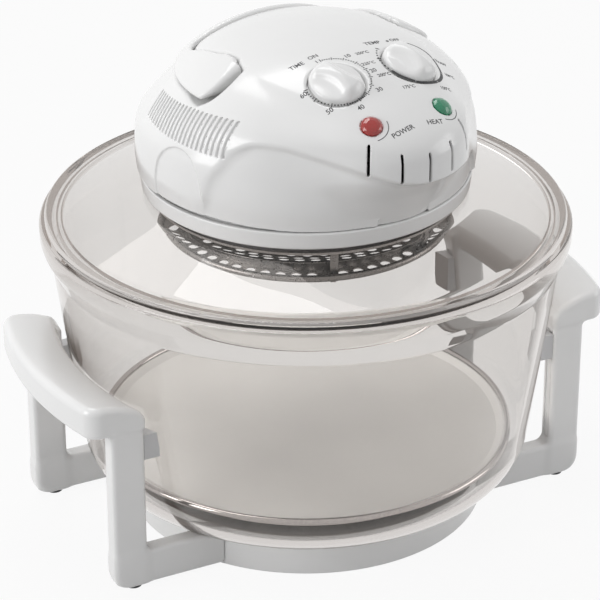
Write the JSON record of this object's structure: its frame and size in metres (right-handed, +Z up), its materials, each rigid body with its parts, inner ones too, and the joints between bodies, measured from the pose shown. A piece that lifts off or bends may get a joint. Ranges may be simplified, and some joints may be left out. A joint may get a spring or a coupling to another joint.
{
  "type": "halogen oven",
  "caption": "Halogen oven: glass bowl on a stand with two side handles, lift-off glass lid with a domed white heater head, swing-up carry handle, timer and temperature knobs.",
  "frame": {"origin": "centre of the standing plane, midway between the handle frames, under the middle of the bowl", "axes": "+Z up, -Y is the front with the controls, +X towards the right handle frame"},
  "size_m": [0.38, 0.334, 0.3252],
  "materials": {
    "white_plastic": "smooth moulded gloss",
    "rubber": "matt",
    "silicone": "translucent silicone",
    "bowl_glass": "clear, lightly smoked",
    "lid_glass": "clear, lightly smoked",
    "chrome_wire": "bright plated",
    "tray_enamel": "satin enamel",
    "guard_steel": "satin, rolled bright rim",
    "sheet_steel": "plain sheet",
    "fastener_steel": "zinc plated",
    "fan_aluminium": "pressed sheet",
    "motor_case": "satin",
    "quartz": "clear quartz",
    "ceramic": "unglazed ceramic",
    "dark_plastic": "moulded",
    "red_lens": "moulded, faceted",
    "green_lens": "moulded, faceted",
    "neon_glass": "clear",
    "wire_cover": "silicone sleeve"
  },
  "bodies": {
    "stand": {"base_ring": "white_plastic", "right_handle_frame": "white_plastic", "left_handle_frame": "white_plastic", "frame_screws": "fastener_steel", "rubber_feet": "rubber", "bowl_pads": "silicone"},
    "bowl": {"glass_bowl": "bowl_glass"},
    "rack": {"wire_rack": "chrome_wire"},
    "tray": {"drip_tray": "tray_enamel", "tray_rim": "chrome_wire"},
    "lid": {"lid_glass": "lid_glass", "glass_gasket": "rubber", "heat_reflector": "sheet_steel", "clamp_screws": "fastener_steel", "guard": "guard_steel", "guard_brackets": "guard_steel", "guard_bolts": "guard_steel", "lower_housing": "white_plastic", "housing_screws": "fastener_steel", "upper_housing": "white_plastic", "cord_bush": "rubber", "handle_pins": "fastener_steel", "microswitch": "dark_plastic", "timer_movement": "dark_plastic", "thermostat_body": "dark_plastic", "power_lens": "red_lens", "heat_lens": "green_lens", "power_neon": "neon_glass", "heat_neon": "neon_glass", "halogen_tube": "quartz", "lamp_holders": "ceramic", "tube_clips": "sheet_steel", "thermostat_probe": "sheet_steel", "heat_shield": "sheet_steel", "motor_bracket": "sheet_steel", "bracket_screws": "fastener_steel", "motor": "motor_case", "motor_screws": "fastener_steel", "terminal_block": "ceramic", "thermal_cutout": "dark_plastic", "wiring": "wire_cover"},
    "carry_handle_body": {"carry_handle": "white_plastic"},
    "plunger_body": {"switch_plunger": "dark_plastic"},
    "timer_knob_body": {"timer_knob": "white_plastic", "timer_shaft": "fastener_steel"},
    "thermostat_knob_body": {"thermostat_knob": "white_plastic", "thermostat_shaft": "fastener_steel"},
    "rotor": {"motor_shaft": "sheet_steel", "hot_air_fan": "fan_aluminium", "fan_nut": "fastener_steel", "cooling_fan": "fan_aluminium"}
  },
  "joints": [
    {"name": "bowl_lift", "type": "slide", "parent": "stand", "child": "bowl", "axis": [0, 0, 1], "range_m": [0, 0.13]},
    {"name": "rack_lift", "type": "slide", "parent": "bowl", "child": "rack", "axis": [0, 0, 1], "range_m": [0, 0.05]},
    {"name": "tray_lift", "type": "slide", "parent": "rack", "child": "tray", "axis": [0, 0, 1], "range_m": [0, 0.06]},
    {"name": "lid_lift", "type": "slide", "parent": "bowl", "child": "lid", "axis": [0, 0, 1], "range_m": [0, 0.08]},
    {"name": "carry_handle_swing", "type": "hinge", "parent": "lid", "child": "carry_handle_body", "pos_m": [0.00097, -0.00693, 0.3065], "axis": [0.9903, 0.1392, 0], "range_deg": [0, 90]},
    {"name": "plunger_rise", "type": "slide", "parent": "lid", "child": "plunger_body", "axis": [0, 0, 1], "range_m": [0, 0.003]},
    {"name": "timer_turn", "type": "hinge", "parent": "lid", "child": "timer_knob_body", "pos_m": [-0.01668, -0.07243, 0.3127], "axis": [-0.1239, -0.3414, 0.9317], "range_deg": [-285, 0]},
    {"name": "thermostat_turn", "type": "hinge", "parent": "lid", "child": "thermostat_knob_body", "pos_m": [0.036, -0.06502, 0.3127], "axis": [0.2132, -0.294, 0.9317], "range_deg": [-300, 0]},
    {"name": "fan_spin", "type": "hinge", "parent": "lid", "child": "rotor", "pos_m": [0, 0, 0.24], "axis": [0, 0, 1], "continuous": true}
  ],
  "couplings": [
    {"joint": "plunger_rise", "follows": "carry_handle_swing", "m_per_rad": 0.0019098}
  ]
}
